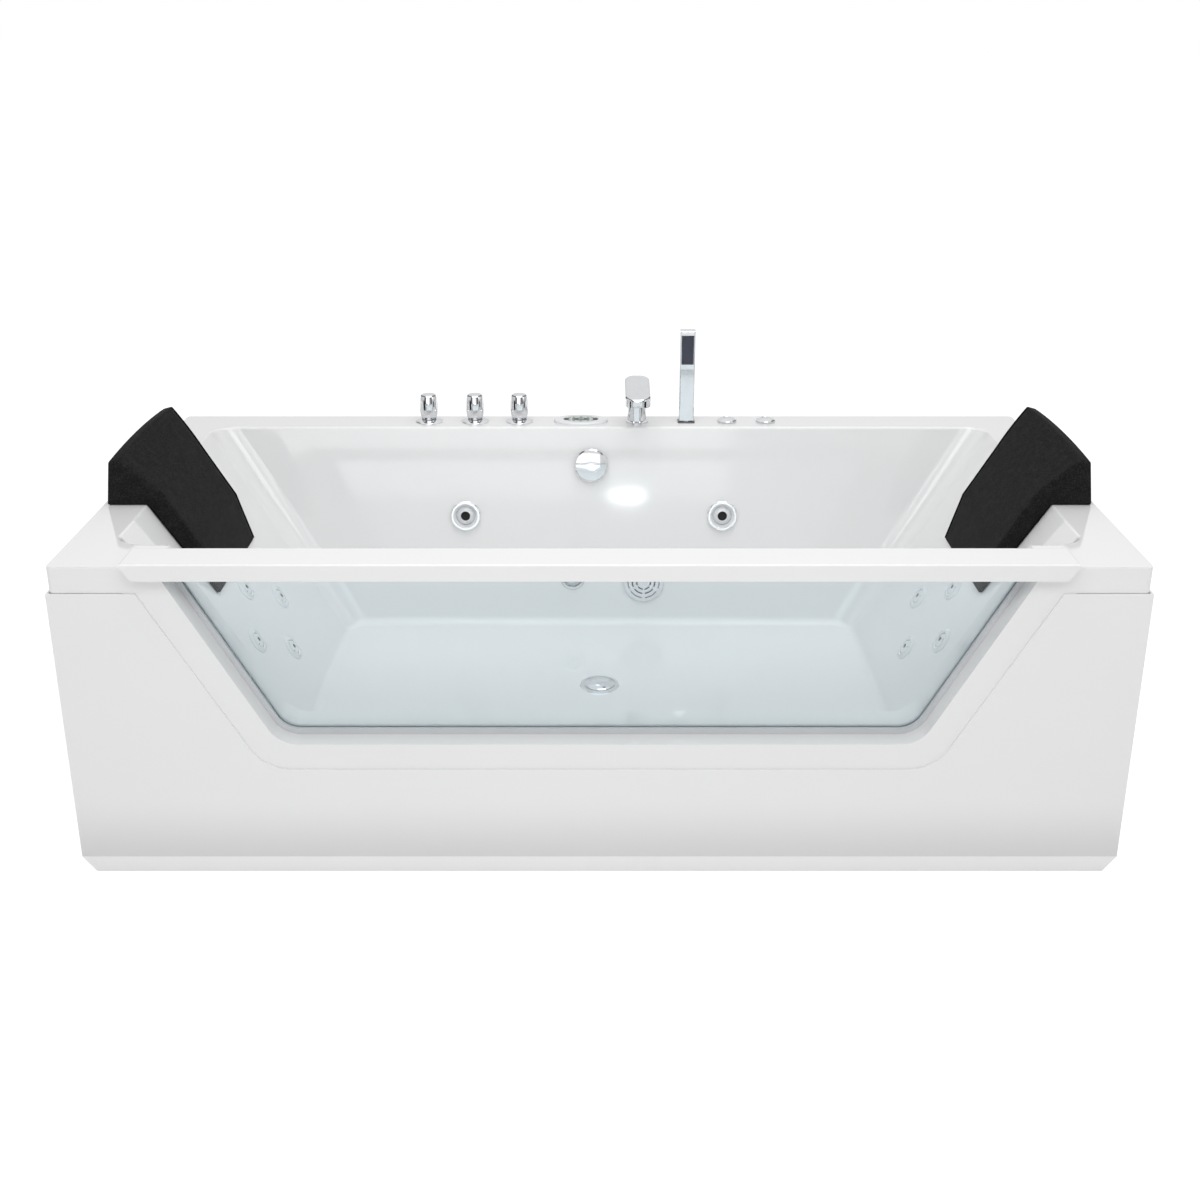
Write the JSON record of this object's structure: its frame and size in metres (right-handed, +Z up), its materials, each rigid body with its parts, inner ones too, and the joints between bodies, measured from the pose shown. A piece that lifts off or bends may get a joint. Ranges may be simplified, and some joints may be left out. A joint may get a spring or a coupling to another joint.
{
  "type": "jetted bathtub",
  "caption": "Rectangular jetted bathtub with a trapezoidal glass front, sloping ends with foam headrests, deck taps, hand shower, wall jets, pump and levelling frame.",
  "frame": {"origin": "on the floor, under the middle of the tub's outline", "axes": "+X along the tub to the right as seen from the glazed front, +Y to the wall behind it, +Z up"},
  "size_m": [1.8, 0.918, 0.779],
  "materials": {
    "acrylic": "glossy moulded acrylic",
    "glass": "clear tempered",
    "seal": "pale grey, satin",
    "chrome": "polished",
    "brass": "cast and turned",
    "frame_steel": "galvanised",
    "fastener_steel": "zinc plated",
    "board": "resin-sealed panel",
    "fitting_white": "glossy white",
    "ring_chrome": "plated plastic",
    "pipe": "extruded pipe",
    "dark_plastic": "moulded, fine grain",
    "nozzle_plate": "dark, with soft nubs",
    "lens": "frosted",
    "display": "tinted cover",
    "motor": "painted casting",
    "foam": "fine-grained integral-skin foam"
  },
  "bodies": {
    "tub": {"tub_shell": "acrylic", "front_rail": "acrylic", "front_apron": "acrylic", "left_apron": "acrylic", "right_apron": "acrylic", "plinth": "acrylic", "window_glass": "glass", "window_seal": "seal", "drain_flange": "chrome", "tap_flanges": "chrome", "spout": "chrome", "lamp_bezel": "chrome", "valve_bodies": "brass", "steel_frame": "frame_steel", "levelling_feet": "fastener_steel", "foot_lock_nuts": "fastener_steel", "base_board": "board", "back_jet_bodies": "fitting_white", "end_jet_bodies": "fitting_white", "suction_grille": "fitting_white", "panel_housing": "fitting_white", "waste_trap": "pipe", "overflow_body": "pipe", "overflow_pipe": "pipe", "suction_body": "pipe", "suction_pipe": "pipe", "water_pipes": "pipe", "air_pipes": "pipe", "air_valves": "pipe", "shower_holder": "dark_plastic", "pump_volute": "dark_plastic", "control_box": "dark_plastic", "lamp_lens": "lens", "panel_display": "display", "pump_motor": "motor"},
    "knob_hot": {"knob_hot": "chrome"},
    "knob_divert": {"knob_divert": "chrome"},
    "knob_cold": {"knob_cold": "chrome"},
    "overflow_knob": {"overflow_knob": "chrome"},
    "drain_plug": {"drain_plug": "chrome"},
    "hand_shower": {"hand_shower": "chrome", "shower_plate": "nozzle_plate"},
    "air_knob_left": {"air_knob_left": "chrome"},
    "air_knob_right": {"air_knob_right": "chrome"},
    "jet_ring_left": {"jet_ring_left": "ring_chrome"},
    "jet_nozzle_left": {"jet_nozzle_left": "fitting_white"},
    "jet_ring_right": {"jet_ring_right": "ring_chrome"},
    "jet_nozzle_right": {"jet_nozzle_right": "fitting_white"},
    "end_rotor_1": {"end_rotor_1": "fitting_white"},
    "end_rotor_2": {"end_rotor_2": "fitting_white"},
    "end_rotor_3": {"end_rotor_3": "fitting_white"},
    "end_rotor_4": {"end_rotor_4": "fitting_white"},
    "end_rotor_5": {"end_rotor_5": "fitting_white"},
    "end_rotor_6": {"end_rotor_6": "fitting_white"},
    "end_rotor_7": {"end_rotor_7": "fitting_white"},
    "end_rotor_8": {"end_rotor_8": "fitting_white"},
    "button_left": {"button_left": "display"},
    "button_right": {"button_right": "display"},
    "headrest_left": {"headrest_left": "foam"},
    "headrest_right": {"headrest_right": "foam"}
  },
  "joints": [
    {"name": "knob_hot_turn", "type": "hinge", "parent": "tub", "child": "knob_hot", "pos_m": [-0.366, 0.418, 0.6], "axis": [0, 0, 1], "range_deg": [0, 90]},
    {"name": "knob_divert_turn", "type": "hinge", "parent": "tub", "child": "knob_divert", "pos_m": [-0.267, 0.418, 0.6], "axis": [0, 0, 1], "range_deg": [0, 90]},
    {"name": "knob_cold_turn", "type": "hinge", "parent": "tub", "child": "knob_cold", "pos_m": [-0.172, 0.418, 0.6], "axis": [0, 0, 1], "range_deg": [-90, 0]},
    {"name": "overflow_knob_turn", "type": "hinge", "parent": "tub", "child": "overflow_knob", "pos_m": [-0.018, 0.36011, 0.5], "axis": [0, -0.9827, 0.1853], "range_deg": [0, 90]},
    {"name": "drain_plug_lift", "type": "slide", "parent": "tub", "child": "drain_plug", "axis": [0, 0, 1], "range_m": [0, 0.01]},
    {"name": "hand_shower_lift", "type": "slide", "parent": "tub", "child": "hand_shower", "axis": [0, 0, 1], "range_m": [0, 0.15]},
    {"name": "air_knob_left_turn", "type": "hinge", "parent": "tub", "child": "air_knob_left", "pos_m": [0.274, 0.418, 0.584], "axis": [0, 0, 1], "range_deg": [0, 180]},
    {"name": "air_knob_right_turn", "type": "hinge", "parent": "tub", "child": "air_knob_right", "pos_m": [0.357, 0.418, 0.584], "axis": [0, 0, 1], "range_deg": [0, 180]},
    {"name": "jet_ring_left_turn", "type": "hinge", "parent": "tub", "child": "jet_ring_left", "pos_m": [-0.287, 0.33974, 0.392], "axis": [0, -0.9827, 0.1853], "range_deg": [0, 90]},
    {"name": "jet_nozzle_left_tilt", "type": "hinge", "parent": "tub", "child": "jet_nozzle_left", "pos_m": [-0.287, 0.34662, 0.3907], "axis": [1, 0, 0], "range_deg": [-10, 10]},
    {"name": "jet_ring_right_turn", "type": "hinge", "parent": "tub", "child": "jet_ring_right", "pos_m": [0.263, 0.33974, 0.392], "axis": [0, -0.9827, 0.1853], "range_deg": [0, 90]},
    {"name": "jet_nozzle_right_tilt", "type": "hinge", "parent": "tub", "child": "jet_nozzle_right", "pos_m": [0.263, 0.34662, 0.3907], "axis": [1, 0, 0], "range_deg": [-10, 10]},
    {"name": "end_rotor_1_spin", "type": "hinge", "parent": "tub", "child": "end_rotor_1", "pos_m": [-0.68195, -0.018, 0.3717], "axis": [0.836, 0, 0.5487], "continuous": true},
    {"name": "end_rotor_2_spin", "type": "hinge", "parent": "tub", "child": "end_rotor_2", "pos_m": [-0.64079, 0.088, 0.309], "axis": [0.836, 0, 0.5487], "continuous": true},
    {"name": "end_rotor_3_spin", "type": "hinge", "parent": "tub", "child": "end_rotor_3", "pos_m": [-0.59964, -0.018, 0.2463], "axis": [0.836, 0, 0.5487], "continuous": true},
    {"name": "end_rotor_4_spin", "type": "hinge", "parent": "tub", "child": "end_rotor_4", "pos_m": [-0.64079, -0.124, 0.309], "axis": [0.836, 0, 0.5487], "continuous": true},
    {"name": "end_rotor_5_spin", "type": "hinge", "parent": "tub", "child": "end_rotor_5", "pos_m": [0.68195, -0.018, 0.3717], "axis": [-0.836, 0, 0.5487], "continuous": true},
    {"name": "end_rotor_6_spin", "type": "hinge", "parent": "tub", "child": "end_rotor_6", "pos_m": [0.64079, 0.088, 0.309], "axis": [-0.836, 0, 0.5487], "continuous": true},
    {"name": "end_rotor_7_spin", "type": "hinge", "parent": "tub", "child": "end_rotor_7", "pos_m": [0.59964, -0.018, 0.2463], "axis": [-0.836, 0, 0.5487], "continuous": true},
    {"name": "end_rotor_8_spin", "type": "hinge", "parent": "tub", "child": "end_rotor_8", "pos_m": [0.64079, -0.124, 0.309], "axis": [-0.836, 0, 0.5487], "continuous": true},
    {"name": "button_left_press", "type": "slide", "parent": "tub", "child": "button_left", "axis": [0, 0, -1], "range_m": [0, 0.001], "stiffness_N_per_m": 300},
    {"name": "button_right_press", "type": "slide", "parent": "tub", "child": "button_right", "axis": [0, 0, -1], "range_m": [0, 0.001], "stiffness_N_per_m": 300},
    {"name": "headrest_left_lift", "type": "slide", "parent": "tub", "child": "headrest_left", "axis": [0, 0, 1], "range_m": [0, 0.15]},
    {"name": "headrest_right_lift", "type": "slide", "parent": "tub", "child": "headrest_right", "axis": [0, 0, 1], "range_m": [0, 0.15]}
  ],
  "couplings": [
    {"joint": "drain_plug_lift", "follows": "overflow_knob_turn", "m_per_rad": 0.006366}
  ]
}
